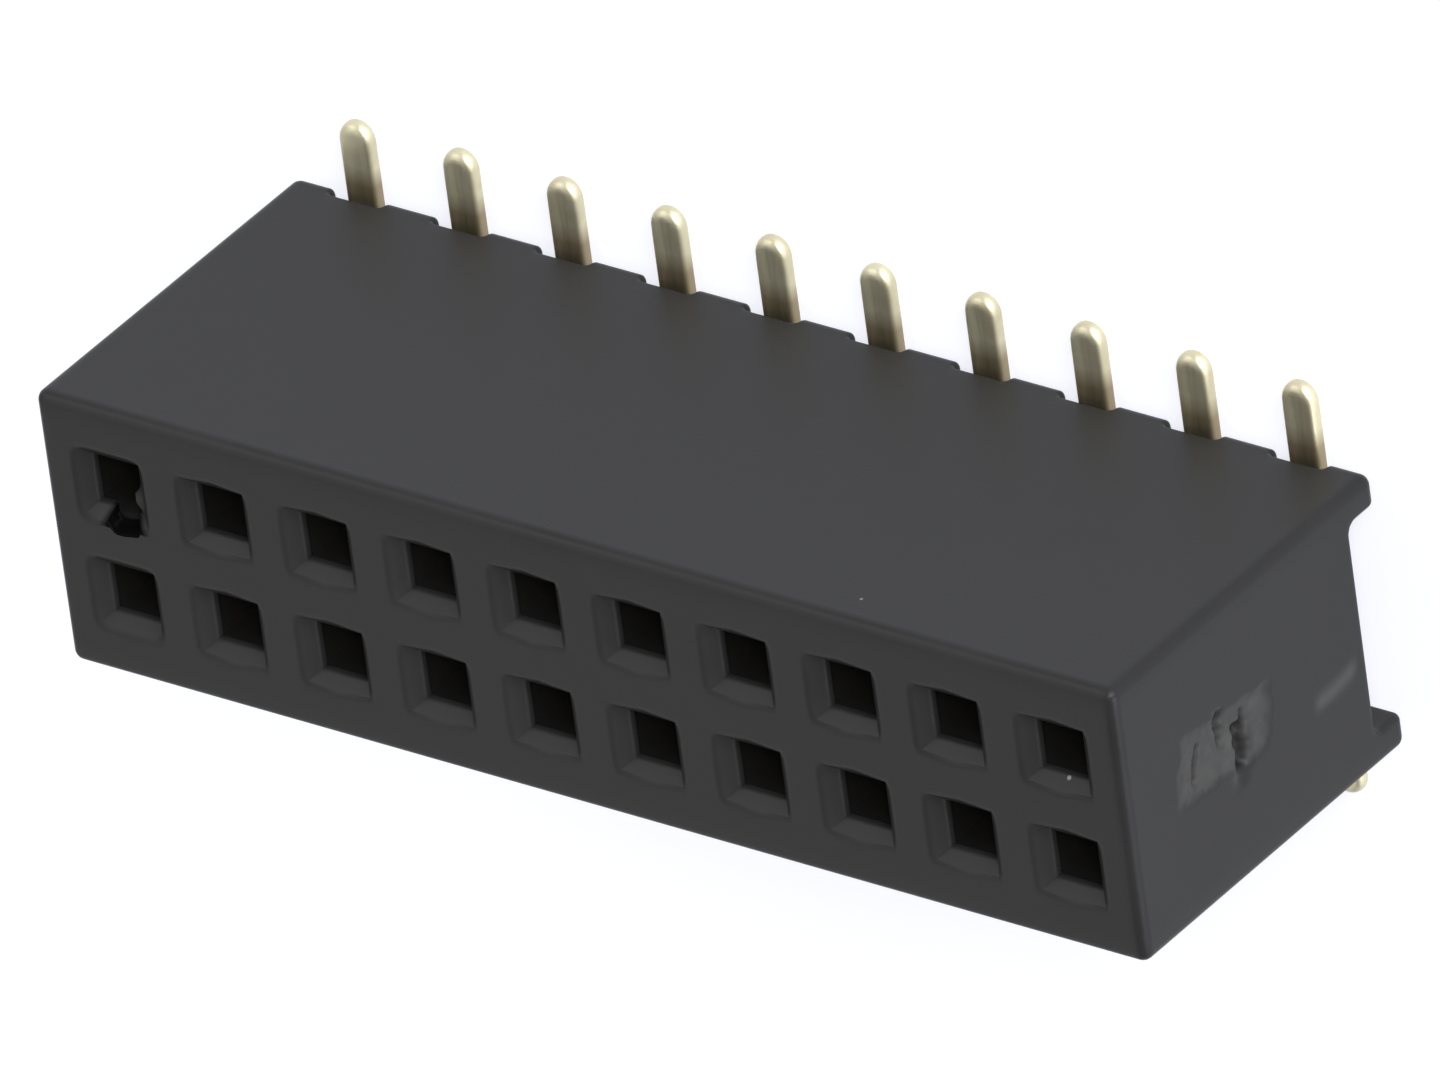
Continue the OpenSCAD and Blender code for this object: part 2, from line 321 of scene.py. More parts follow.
# %% [markdown]
# ## Funnels
#
# Each opening starts as a square throat and spreads into a four-sided funnel at the mating face, which leads the
# pin in. The walls are scaled by a profile of half-width against height, and on the face the rings round each
# opening are moved out to make room. The corners of a funnel are softened by a rounded square, most at the rim and
# less and less outside it.

# %% Spread the throats into funnels
RING_END = 0.60
SQUARENESS = 8


def funnel_half(z):
    """Half-width of an opening: the throat, then a straight slope that starts softly, then the arc of the rim."""
    slope = (FUNNEL_HALF - THROAT_HALF) / FUNNEL_H
    rise = z - FUNNEL_Z
    wall = THROAT_HALF + slope * (rise + np.hypot(rise, THROAT_R)) / 2
    drop = np.clip((BODY_TOP - z) / RIM_R, 0, 1 - np.cos(RIM_TURN))
    rim = FUNNEL_HALF + RIM_R * (np.tan(RIM_TURN / 2) - np.sin(np.arccos(1 - drop)))
    return np.where(z > BODY_TOP - RIM_R * (1 - np.cos(RIM_TURN)), rim, wall)


def spread_rings(ring):
    """Moves a ring from THROAT_HALF..RING_END to rim..RING_END, evenly, and leaves the others."""
    rim = funnel_half(np.array(BODY_TOP))
    share = (RING_END - ring) / (RING_END - THROAT_HALF)
    return np.where(ring < RING_END, RING_END - share * (RING_END - rim), ring)


above = raw[:, 2] > CHAMBER_Z
past_throat = ring > THROAT_HALF + SAME
on_slope = on_wall & above & ~past_throat
in_chip = on_wall & above & past_throat
factor = np.ones(len(raw))
factor[on_slope] = funnel_half(raw[on_slope, 2]) / THROAT_HALF
spread_out = spread_rings(ring) / ring
factor[on_top] = spread_out[on_top]
climb = np.clip((raw[:, 2] - CHAMBER_Z) / (BODY_TOP - CHAMBER_Z), 0, 1)
factor[in_chip] = (1 + (spread_out - 1) * climb)[in_chip]
soft_square = ((off_x / ring) ** SQUARENESS + (off_y / ring) ** SQUARENESS) ** (-1 / SQUARENESS)
up_the_slope = np.clip((raw[:, 2] - FUNNEL_Z) / FUNNEL_H, 0, 1) * ~past_throat
outwards = np.clip((RING_END - ring) / (RING_END - THROAT_HALF), 0, 1)
factor *= soft_square ** np.where(on_top & past_throat, outwards, up_the_slope)
block[:, 0] += (factor - 1) * off_x
block[:, 1] += (factor - 1) * off_y
print(f"funnels open from {2 * THROAT_HALF:.2f} to {2 * funnel_half(np.array(BODY_TOP)):.2f} mm")

# %% [markdown]
# ## Noise and the broken corner
#
# One opening has lost a chip of its lower lip, so the thin web over the chamber is missing there, and a small burr
# stands beside it. Chips and torn plastic need an uneven surface, so a small noise function comes first: random
# heights on a square lattice, joined smoothly, with finer layers added. The seed is fixed, so every run gives the
# same surface. Inside the chip the points move by the whole of it, and on the funnel's slope by a quarter.

# %% Value noise and the chip
LATTICE = 64


def noise(u, v, cell, seed, layers=3):
    """Sum of layers of smoothly joined random heights from -1 to 1, each twice as fine and half as high."""
    total, weight = np.zeros(np.broadcast(u, v).shape), 0.0
    for layer in range(layers):
        heights = np.random.default_rng(seed + layer).uniform(-1, 1, (LATTICE, LATTICE))
        a, b = u / cell * 2 ** layer + 7.3, v / cell * 2 ** layer + 3.1
        i, j = np.floor(a).astype(int), np.floor(b).astype(int)
        fa, fb = a - i, b - j
        fa, fb = fa * fa * (3 - 2 * fa), fb * fb * (3 - 2 * fb)
        i, next_i, j, next_j = i % LATTICE, (i + 1) % LATTICE, j % LATTICE, (j + 1) % LATTICE
        low = heights[i, j] * (1 - fa) + heights[next_i, j] * fa
        high = heights[i, next_j] * (1 - fa) + heights[next_i, next_j] * fa
        total += (low * (1 - fb) + high * fb) / 2 ** layer
        weight += 1 / 2 ** layer
    return total / weight


def bump_between(t, low, high, soft):
    """1 between low and high, 0 outside, with soft flanks."""
    return np.clip((t - low) / soft + 0.5, 0, 1) * np.clip((high - t) / soft + 0.5, 0, 1)


RAGGED, BURR = 0.035, 0.09
in_broken_one = (column == 0) & (side > 0)
near_chip = in_broken_one & in_opening & above & (off_y < -THROAT_HALF + SAME)
near_chip &= (off_x > CHIP_X[0] - SAME) & (off_x < CHIP_X[1] + SAME)
ragged = np.stack([noise(raw[:, 1], raw[:, 2], 0.10, seed=s) for s in (4, 14)], 1)
skew = np.stack([0.35 * (-off_y - THROAT_HALF) * (off_x < 0), -0.25 * np.abs(off_x - 0.03)], 1)
looseness = near_chip * np.where(past_throat, 1, 0.25)
block[:, :2] += looseness[:, None] * (RAGGED * ragged - skew * [-1, 1])
burr = on_slope & in_broken_one & (off_x > THROAT_HALF - SAME)
along_wall = bump_between(off_y, -0.19, -0.02, 0.10)
up_wall = bump_between(raw[:, 2], FUNNEL_Z - 0.02, FUNNEL_Z + 0.05, 0.04)
burr_share = np.where(burr, along_wall * up_wall, 0)
block[:, 0] -= BURR * burr_share
# Painted shade: the walls of the chip are painted near black, for the shade inside the break.
painted_shade = (near_chip & on_wall).astype(float)
print(f"chip: {np.count_nonzero(near_chip)} points; burr: {np.count_nonzero(burr_share)} points")

# %% [markdown]
# ## The gate scar
#
# Plastic enters the mould through a gate on one end, and the gate is broken off afterwards. It leaves a shallow
# torn patch. That patch needs a grid far finer than the block's, so a window is taken out of the end face, a fine
# grid goes into it, and the flat frame between the two is filled with triangles that share the points of both.

# %% Fine grid of the scar
WINDOW_Y, WINDOW_Z = (-0.60, 0.80), (0.70, 3.95)
SCAR_STEP = 0.02
RIDGES = [  # y, z, half-width, height
    (0.19, 2.41, 0.12, 0.3), (0.02, 2.83, 0.09, 0.7), (-0.17, 2.93, 0.12, 0.5), (-0.11, 3.22, 0.12, 0.5),
    (0.13, 3.19, 0.08, 0.5), (-0.10, 3.60, 0.12, 0.3)]
DENTS = [(-0.42, 2.72, 0.10, 0.03), (0.13, 2.73, 0.05, 0.04), (0.36, 2.99, 0.08, 0.02)]
GROOVES = [  # slant, first y, last y, z, half-width, depth
    (0, -0.37, 0.13, 2.64, 0.085, 0.12), (0, 0.02, 0.26, 2.60, 0.035, 0.07),
    (0, 0.06, 0.45, 2.98, 0.045, 0.06), (0.3, -0.12, 0.27, 3.40, 0.035, 0.07)]
STREAK_HALF, STREAK_DEPTH, STREAK_SHARE = 0.090, 0.008, 0.80
DEEP_FROM, DEEP_RANGE = 0.045, 0.09
scar_y = np.arange(WINDOW_Y[0], WINDOW_Y[1] + SCAR_STEP / 2, SCAR_STEP)
scar_z = np.arange(WINDOW_Z[0], WINDOW_Z[1] + SCAR_STEP / 2, SCAR_STEP)
sy, sz = np.meshgrid(scar_y, scar_z, indexing="ij")
tear = noise(sy, sz, 0.16, seed=21)
fine_tear = noise(sy, sz, 0.06, seed=31)


def groove(y, z, y0, y1, z0, half, depth):
    """A torn groove along Y: depth times a bell across Z, between two ends."""
    wander = 0.03 * noise(y, z * 0, 0.12, seed=int(z0 * 100))
    return depth * np.exp(-((z - z0 - wander) / half) ** 2) * bump_between(y, y0, y1, 0.08)


def bells(y, z, rows):
    """The sum of bells: height * exp(-(distance / half)^2) for each row of y, z, half and height."""
    y0, z0, half, height = np.array(rows).T
    return (height * np.exp(-((y[..., None] - y0) ** 2 + (z[..., None] - z0) ** 2) / half ** 2)).sum(-1)


ridges, dents = bells(sy, sz, RIDGES), bells(sy, sz, DENTS)
slant_z, slant_y = sz + 0.25 * sy, sy - 0.10 * (sz - 2.9)
patch = bump_between(slant_y + 0.05 * tear, -0.31, 0.38, 0.09) * bump_between(slant_z + 0.08 * tear, 2.20, 3.66, 0.14)
relief = -patch * (0.020 + 0.010 * tear + 0.008 * fine_tear - 0.016 * np.clip(ridges, 0, 1)) - dents
for slant, *sizes in GROOVES:
    relief -= groove(sy, sz + slant * sy, *sizes)
streak_y = -0.38 + 0.14 * np.exp(-(sz - 0.66) / 0.25)
streak = np.exp(-((sy - streak_y) / STREAK_HALF) ** 2) * bump_between(sz, 0.76, 1.42, 0.14)
relief -= STREAK_DEPTH * streak
edge = np.minimum(np.minimum(sy - WINDOW_Y[0], WINDOW_Y[1] - sy), np.minimum(sz - WINDOW_Z[0], WINDOW_Z[1] - sz))
relief = np.minimum(relief, 0) * np.clip(edge / (2 * SCAR_STEP), 0, 1)
torn = np.clip(patch * (0.45 + 0.3 * tear + 0.6 * ridges), 0, 1)
torn = np.maximum(torn, STREAK_SHARE * streak) * np.clip(edge / SCAR_STEP, 0, 1)
# Painted shade: the deeper a groove of the scar, the more near black is painted into it, up to half.
groove_painted_shade = np.clip((-relief - DEEP_FROM) / DEEP_RANGE, 0, 0.5)
print(f"scar: {sy.size} points, down to {relief.min():.3f} mm")

# %% Set the scar into the end face
corner_points = raw[block_quads]
frame_y = (y_lines[y_lines < WINDOW_Y[0]].max(), y_lines[y_lines > WINDOW_Y[1]].min())
frame_z = (z_lines[z_lines < WINDOW_Z[0]].max(), z_lines[z_lines > WINDOW_Z[1]].min())
in_frame = np.all(
    (corner_points[..., 0] == x_lines[-1])
    & (corner_points[..., 1] >= frame_y[0]) & (corner_points[..., 1] <= frame_y[1])
    & (corner_points[..., 2] >= frame_z[0]) & (corner_points[..., 2] <= frame_z[1]), axis=1)
hole = np.unique(block_quads[in_frame])
on_rim = np.isin(raw[hole, 1], frame_y) | np.isin(raw[hole, 2], frame_z)
outer_loop = hole[on_rim]


def in_turn(points, middle):
    """Order of points round a middle, counter-clockwise."""
    return np.argsort(np.arctan2(points[:, 1] - middle[1], points[:, 0] - middle[0]))


middle = (np.mean(WINDOW_Y), np.mean(WINDOW_Z))
outer_loop = outer_loop[in_turn(raw[outer_loop][:, 1:], middle)]
scar_number = len(raw) + np.arange(sy.size).reshape(sy.shape)
inner_loop = np.concatenate([scar_number[:, 0], scar_number[:, -1], scar_number[0, 1:-1], scar_number[-1, 1:-1]])
scar_points = np.stack([np.full(sy.shape, x_lines[-1]), sy, sz], -1).reshape(-1, 3)
flat_points = np.concatenate([raw, scar_points])[:, 1:]
inner_loop = inner_loop[in_turn(flat_points[inner_loop], middle)]
both = np.concatenate([outer_loop, inner_loop])
ring_edges = [
    (start + i, start + (i + 1) % count)
    for start, count in ((0, len(outer_loop)), (len(outer_loop), len(inner_loop))) for i in range(count)]
filled = delaunay_2d_cdt([Vector(p) for p in flat_points[both]], ring_edges, [], 0, 1e-6)
original = np.array([o[0] for o in filled[3]])
triangles = both[original[np.array(filled[2])]]
centre = flat_points[triangles].mean(1)
outside = (
    (centre[:, 0] < WINDOW_Y[0]) | (centre[:, 0] > WINDOW_Y[1])
    | (centre[:, 1] < WINDOW_Z[0]) | (centre[:, 1] > WINDOW_Z[1]))
triangles = triangles[outside]
scar_quads = np.stack([
    scar_number[:-1, :-1], scar_number[1:, :-1], scar_number[1:, 1:], scar_number[:-1, 1:]], -1).reshape(-1, 4)
scar_points[:, 0] += relief.ravel()
print(len(outer_loop), "points outside,", len(inner_loop), "inside,", len(triangles), "triangles between")

# %% [markdown]
# The points of the window that no face uses any more are dropped, and the block becomes one piece. A number on each
# point, called torn, tells the material where the plastic was torn, and another tells it where shade is painted near
# black, in the chip and in the deep grooves of the scar.

# %% Make the block
all_points = np.concatenate([block, scar_points])
all_torn = np.concatenate([0.6 * burr_share, torn.ravel()])
all_painted_shade = np.concatenate([painted_shade, groove_painted_shade.ravel()])
face_sets = [block_quads[~in_frame], scar_quads, triangles]
kept, renumbered = np.unique(np.concatenate([f.ravel() for f in face_sets]), return_inverse=True)
splits = np.cumsum([f.size for f in face_sets])[:-1]
face_sets = [part.reshape(-1, f.shape[1]) for part, f in zip(np.split(renumbered, splits), face_sets)]
insulator = add_piece("insulator", all_points[kept], face_sets, "housing")
for name, values in (("torn", all_torn), ("painted_shade", all_painted_shade)):
    insulator.data.attributes.new(name, "FLOAT", "POINT").data.foreach_set("value", values[kept].astype(np.float32))
print("insulator:", len(kept), "points,", sum(len(f) for f in face_sets), "faces")

# %% [markdown]
# ## The contact as a bent blank
#
# A contact starts as a flat blank punched from strip: a foot with a round tip, a narrow tail, two stop shoulders, a
# wide middle that is folded into a box, and two tongues that become the spring beams. Here the blank is a grid of
# two parameters, u across the strip and v along it, with the cells outside its outline left out.

# %% The blank's lines and outline
FOOT_HALF, TIP_R, FOOT_END = 0.19, 0.19, cad_high[1] / MM - ROW_Y
BEND_MID, WEB_Y = 0.175, 0.305
FOLD_U, FOLD_R, SIDE_X = 0.225, 0.10, 0.325
SHOULDER_HALF, SHOULDER_LOW, SLIT = 0.49, CHANNEL_Z - 0.10, 0.02
BOX_TOP, BOX_FRONT = CHANNEL_Z + 1.25, -0.38
GRIP_Z, BEAM_TOP, GRIP_X, FLARE_X = 3.12, 3.54, 0.195, 0.325
BEAM_U, BEAM_ROOT_HALF, BEAM_TIP_HALF = 0.63, 0.235, 0.17
BARB_Z, BARB_OUT = 1.05, 0.018

flat_end = FOOT_END - WEB_Y - BEND_MID
bend_end = flat_end + BEND_MID * np.pi / 2
fold_end = FOLD_U + FOLD_R * np.pi / 2
side_end = fold_end + (WEB_Y - FOLD_R - BOX_FRONT)
WEB_Z0 = STRIP_T / 2 + BEND_MID


def v_at(z):
    """Distance along the blank, from the foot's tip, of a height z on the upright part."""
    return bend_end + z - WEB_Z0


TIP_TURNS = np.radians([6, 12, 20, 30, 42, 55, 72, 90])
coin = np.array([0, 0.0067, 0.025, 0.05])
stamp = np.array([0, 0.015])
u_lines = mirrored(
    0, 0.07, 0.12, FOOT_HALF - coin, FOLD_U - stamp, np.linspace(FOLD_U, fold_end, 6), SHOULDER_HALF - stamp,
    BEAM_U - BEAM_ROOT_HALF + stamp, BEAM_U, BEAM_U + BEAM_ROOT_HALF - stamp, side_end - stamp)
u_lines = u_lines[np.diff(u_lines, prepend=-9) > 1e-3]
v_lines = np.concatenate([
    TIP_R * (1 - np.cos(TIP_TURNS)), np.linspace(TIP_R, flat_end, 9)[1:],
    np.linspace(flat_end, bend_end, 9)[1:],
    v_at(np.array([
        SHOULDER_LOW - 0.02, SHOULDER_LOW, SHOULDER_LOW + 0.015, CHANNEL_Z - 0.015, CHANNEL_Z,
        CHANNEL_Z + SLIT, CHANNEL_Z + SLIT + 0.015, 0.85, 1.00, BARB_Z, 1.15, 1.45, 1.60,
        BOX_TOP - 0.015, BOX_TOP, BOX_TOP + 0.015])),
    v_at(np.linspace(BOX_TOP, GRIP_Z, 12)[1:]), v_at(np.linspace(GRIP_Z, BEAM_TOP, 6)[1:-1]),
    v_at(np.array([BEAM_TOP - 0.015, BEAM_TOP]))])
v_lines = np.unique(np.round(v_lines, 5))
mid_u, mid_v = np.meshgrid(np.abs(middles(u_lines)), middles(v_lines), indexing="ij")
strip = mid_u < FOOT_HALF
shoulders = (mid_u < SHOULDER_HALF) & (mid_v > v_at(SHOULDER_LOW)) & (mid_v < v_at(CHANNEL_Z))
box_wall = (mid_u < side_end) & (mid_v > v_at(CHANNEL_Z + SLIT)) & (mid_v < v_at(BOX_TOP))
neck = (mid_u < FOLD_U) & (mid_v > v_at(CHANNEL_Z)) & (mid_v < v_at(BOX_TOP))
beam_cells = (np.abs(mid_u - BEAM_U) < BEAM_ROOT_HALF) & (mid_v > v_at(BOX_TOP))
metal = (strip & (mid_v < v_at(CHANNEL_Z))) | shoulders | box_wall | neck | beam_cells
print("blank:", metal.sum(), "cells,", f"{2 * side_end:.2f} mm wide and {v_lines[-1]:.2f} mm long")

# %% [markdown]
# ## Thickness with coined edges
#
# The blank gets its thickness by moving each point up and down along the sheet's normal. Near the outline the two
# surfaces come closer along an arc, as a coined or punched edge does: the foot has a well-rounded upper edge, and
# the rest only the small break of a punch. The distance to the outline decides how much.

# %% Distance to the outline
PUNCH_R, COIN_R, TIP_COIN_R = 0.015, 0.035, 0.045
gu, gv = np.meshgrid(u_lines, v_lines, indexing="ij")


def shape_blank(u, v):
    """Narrows the foot towards its round tip and the beams towards theirs; the rest keeps its place."""
    tip = np.sqrt(np.clip(1 - (1 - np.clip(v / TIP_R, 0, 1)) ** 2, 0, 1))
    along = np.clip((v - v_at(BOX_TOP)) / (v_lines[-1] - v_at(BOX_TOP)), 0, 1)
    narrow = 1 - along * (1 - BEAM_TIP_HALF / BEAM_ROOT_HALF)
    beam = np.sign(u) * (BEAM_U + (np.abs(u) - BEAM_U) * narrow)
    return np.where(v < TIP_R, u * tip, np.where(along > 0, beam, u)), v


bu, bv = shape_blank(gu, gv)
padded = np.pad(metal, 1).astype(np.int8)
starts, ends = [], []
for axis in (0, 1):
    change = np.diff(padded, axis=axis)[:, 1:-1] if axis == 0 else np.diff(padded, axis=axis)[1:-1, :]
    at = np.argwhere(change != 0)
    starts.append(at)
    ends.append(at + ((0, 1) if axis == 0 else (1, 0)))
starts, ends = np.concatenate(starts), np.concatenate(ends)
p0 = np.stack([bu[tuple(starts.T)], bv[tuple(starts.T)]], -1)
p1 = np.stack([bu[tuple(ends.T)], bv[tuple(ends.T)]], -1)
here = np.stack([bu, bv], -1).reshape(-1, 1, 2)
share = np.clip(((here - p0) * (p1 - p0)).sum(-1) / np.maximum(((p1 - p0) ** 2).sum(-1), 1e-12), 0, 1)
inset = np.linalg.norm(here - (p0 + share[..., None] * (p1 - p0)), axis=-1).min(1).reshape(gu.shape)


def half_thickness(inset, radius):
    """t/2 - r + sqrt(r^2 - (r - d)^2) for a point at distance d from the outline, and t/2 past r."""
    lack = np.clip(radius - inset, 0, None)
    return STRIP_T / 2 - radius + np.sqrt(np.maximum(radius ** 2 - lack ** 2, 0))


on_foot = np.clip((flat_end + 0.1 - bv) / 0.1, 0, 1)
at_tip = np.clip(1 - bv / 0.22, 0, 1)
upper_r = PUNCH_R + on_foot * (COIN_R + TIP_COIN_R * at_tip)
lower_r = PUNCH_R + PUNCH_R * on_foot
upper, lower = half_thickness(inset, upper_r), -half_thickness(inset, lower_r)
at_rim = inset < 1e-6
print(f"outline of {len(starts)} steps; rim between {lower[at_rim].max():.3f} and {upper[at_rim].min():.3f} mm")

# %% [markdown]
# ## Bending the blank
#
# Bending is a function from the flat blank to space. Along v the foot lies flat, turns up through a right angle and
# goes on as the upright part. Across u the box's sides fold round through another right angle. The beams lean in
# towards each other to the grip and flare out again at their tips. The thickness follows the bent sheet's normal,
# and a small barb on each side of the box makes it thicker there.

# %% Bend the sheet
def bend(u, v, offset):
    """Foot: y = end - v. Bend: an arc of BEND_MID. Upright: z grows with v, and u folds round the box."""
    turn = np.clip((v - flat_end) / BEND_MID, 0, np.pi / 2)
    flat, upright = np.clip(v, None, flat_end), np.clip(v - bend_end, 0, None)
    y = FOOT_END - flat - BEND_MID * np.sin(turn)
    z = STRIP_T / 2 + BEND_MID * (1 - np.cos(turn)) + upright
    folded = v > v_at(CHANNEL_Z + SLIT / 2)
    fold = np.where(folded, np.clip((np.abs(u) - FOLD_U) / FOLD_R, 0, np.pi / 2), 0)
    past = np.where(folded, np.clip(np.abs(u) - fold_end, 0, None), 0)
    x = np.where(fold > 0, FOLD_U + FOLD_R * np.sin(fold), np.abs(u))
    y = y - FOLD_R * (1 - np.cos(fold)) - past
    lean = np.clip((z - BOX_TOP) / (GRIP_Z - BOX_TOP), 0, 1)
    flare = np.clip((z - GRIP_Z) / (BEAM_TOP - GRIP_Z), 0, 1)
    x = x - (SIDE_X - GRIP_X) * (1 - np.cos(np.pi * lean)) / 2 + (FLARE_X - GRIP_X) * flare ** 2
    tilt = (SIDE_X - GRIP_X) * np.pi / 2 * np.sin(np.pi * lean) / (GRIP_Z - BOX_TOP)
    tilt = tilt - (FLARE_X - GRIP_X) * 2 * flare / (BEAM_TOP - GRIP_Z)
    slope = np.hypot(1, tilt)
    normal = np.stack([
        np.sin(fold) / slope, np.cos(fold) * np.sin(turn), np.cos(turn) + np.sin(fold) * tilt / slope], -1)
    sign = np.where(u < 0, -1, 1)
    middle = np.stack([x, y, z], -1) + normal * offset[..., None]
    return middle * np.stack([sign, np.ones_like(sign), np.ones_like(sign)], -1)


barb = BARB_OUT * np.clip(1 - np.abs(bv - v_at(BARB_Z)) / 0.10, 0, 1) * (np.abs(np.abs(bu) - fold_end - 0.05) < 0.06)
sheet = np.stack([bend(bu, bv, lower), bend(bu, bv, upper + barb)], 2)
print("bent contact:", sheet.reshape(-1, 3).min(0).round(3), "to", sheet.reshape(-1, 3).max(0).round(3), "mm")

# %% [markdown]
# The two surfaces and the rim between them are the skin of one layer of cells, so the block's own function finds the
# faces. Each contact carries a map of the flat blank, so that the rolling marks in its finish run along the strip
# and round its bends, and a number called sheared that is 1 on the punched rim.

# %% Make the contacts
sheet_used, sheet_quads = skin(metal[:, :, None])
su, sv, layer = np.unravel_index(sheet_used, np.array(metal.shape + (1,)) + 1)
contact_points = sheet[su, sv, layer]
blank_map = np.stack([bu[su, sv], bv[su, sv]], -1)
rim = (inset[su, sv] < 0.012).astype(np.float32)
sheet_quads = sheet_quads[:, ::-1]


def add_contact(node):
    """Row a faces +Y; row b is the same contact turned half round about Z. Its column comes from its number."""
    way = 1 if node.startswith("contact_a") else -1
    place = np.array([COLUMN_X[int(node[len("contact_a"):]) - 1], way * ROW_Y, 0])
    points = contact_points * [way, way, 1] + place
    piece = add_piece("spring_" + node, points, [sheet_quads], node)
    mesh = piece.data
    corner = np.zeros(len(mesh.loops), np.int32)
    mesh.loops.foreach_get("vertex_index", corner)
    mesh.uv_layers.new(name="blank").data.foreach_set("uv", blank_map[corner].astype(np.float32).ravel())
    mesh.attributes.new("sheared", "FLOAT", "POINT").data.foreach_set("value", rim)
    return piece


contacts = [add_contact(n) for n in contact_nodes]
print(len(contacts), "contacts of", len(sheet_quads), "faces each")

# %% [markdown]
# ## Shared effects
#
# Effects that are used more than once are node groups with named inputs. One is a fine grain with slow drifts in it.
# One is a scatter of small specks, as dust leaves on any part that has been handled. One is a single spot.

# %% Node helpers
def add_node(tree, kind, inputs=None, **settings):
    """A node with its settings, and its inputs set to a value or linked from another node's socket."""
    made = tree.nodes.new(kind)
    for key, value in settings.items():
        setattr(made, key, value)
    for key, value in (inputs or {}).items():
        if isinstance(value, bpy.types.NodeSocket):
            tree.links.new(value, made.inputs[key])
        else:
            made.inputs[key].default_value = value
    return made


def add_group(name, inputs, outputs):
    """An empty node group with named sockets, and its input and output nodes."""
    tree = bpy.data.node_groups.new(name, "ShaderNodeTree")
    for label, kind in inputs.items():
        tree.interface.new_socket(label, in_out="INPUT", socket_type=kind)
    for label, kind in outputs.items():
        tree.interface.new_socket(label, in_out="OUTPUT", socket_type=kind)
    return tree, add_node(tree, "NodeGroupInput").outputs, add_node(tree, "NodeGroupOutput").inputs


FLOAT, VECTOR = "NodeSocketFloat", "NodeSocketVector"

# %% Grain and drift
grain, given, result = add_group(
    "grain_and_drift", {"Vector": VECTOR, "Grain": FLOAT, "Drift": FLOAT}, {"Height": FLOAT, "Drift": FLOAT})
fine = add_node(grain, "ShaderNodeTexNoise", {
    "Vector": given["Vector"], "Scale": given["Grain"], "Detail": 3.0, "Roughness": 0.6})
slow = add_node(grain, "ShaderNodeTexNoise", {
    "Vector": given["Vector"], "Scale": given["Drift"], "Detail": 3.0, "Roughness": 0.55, "Distortion": 0.6})
grain.links.new(fine.outputs["Fac"], result["Height"])
grain.links.new(slow.outputs["Fac"], result["Drift"])

# %% Specks
specks, given, result = add_group(
    "specks", {"Vector": VECTOR, "Scale": FLOAT, "Size": FLOAT, "Share": FLOAT}, {"Mask": FLOAT})
cells = add_node(specks, "ShaderNodeTexVoronoi", {"Vector": given["Vector"], "Scale": given["Scale"]})
near = add_node(specks, "ShaderNodeMath", {0: cells.outputs["Distance"], 1: given["Size"]}, operation="LESS_THAN")
draw = add_node(specks, "ShaderNodeSeparateColor", {"Color": cells.outputs["Color"]})
chosen = add_node(specks, "ShaderNodeMath", {0: draw.outputs["Red"], 1: given["Share"]}, operation="LESS_THAN")
mask = add_node(specks, "ShaderNodeMath", {0: near.outputs[0], 1: chosen.outputs[0]}, operation="MULTIPLY")
specks.links.new(mask.outputs[0], result["Mask"])

# %% Single spot
spot, given, result = add_group(
    "single_spot", {"Vector": VECTOR, "Centre": VECTOR, "Radius": FLOAT}, {"Mask": FLOAT})
away = add_node(spot, "ShaderNodeVectorMath", {0: given["Vector"], 1: given["Centre"]}, operation="DISTANCE")
inner = add_node(spot, "ShaderNodeMath", {0: given["Radius"], 1: 0.5}, operation="MULTIPLY")
soft = add_node(spot, "ShaderNodeMapRange", {
    "Value": away.outputs["Value"], "From Min": inner.outputs[0], "From Max": given["Radius"],
    "To Min": 1.0, "To Max": 0.0})
spot.links.new(soft.outputs[0], result["Mask"])
print("node groups:", [g.name for g in bpy.data.node_groups])

# %% [markdown]
# ## Black moulding compound
#
# The block is a black filled plastic with an eroded, even matt skin. Its colour hardly changes, but its gloss does:
# it drifts slowly over the faces, and it is dull where the gate tore away, where the colour is paler too. In the chip
# and in the deep grooves of the scar, shade is painted into the colour near black, and the shine is turned down. A
# few pale specks lie where they have settled, each placed by itself.

# %% Material helpers
def start_material(name):
    """A material with nodes, its tree and its Principled shader."""
    material = bpy.data.materials.new(name)
    material.use_nodes = True
    tree = material.node_tree
    return material, tree, tree.nodes["Principled BSDF"]


def place_group(tree, group, inputs):
    """The outputs of a node group, placed with its inputs set or linked."""
    return add_node(tree, "ShaderNodeGroup", inputs, node_tree=group).outputs


def spread(tree, value, low, high, to_low, to_high):
    """The value moved evenly from low..high to to_low..to_high."""
    return add_node(tree, "ShaderNodeMapRange", {
        "Value": value, "From Min": low, "From Max": high, "To Min": to_low, "To Max": to_high}).outputs[0]


def mix_colours(tree, share, a, b):
    """Colour a where the share is 0 and colour b where it is 1."""
    return add_node(tree, "ShaderNodeMix", {0: share, 6: a, 7: b}, data_type="RGBA").outputs[2]


# %% Insulator finish
BLACK, BLACK_PALER = (0.0165, 0.0165, 0.0168, 1), (0.020, 0.020, 0.0205, 1)
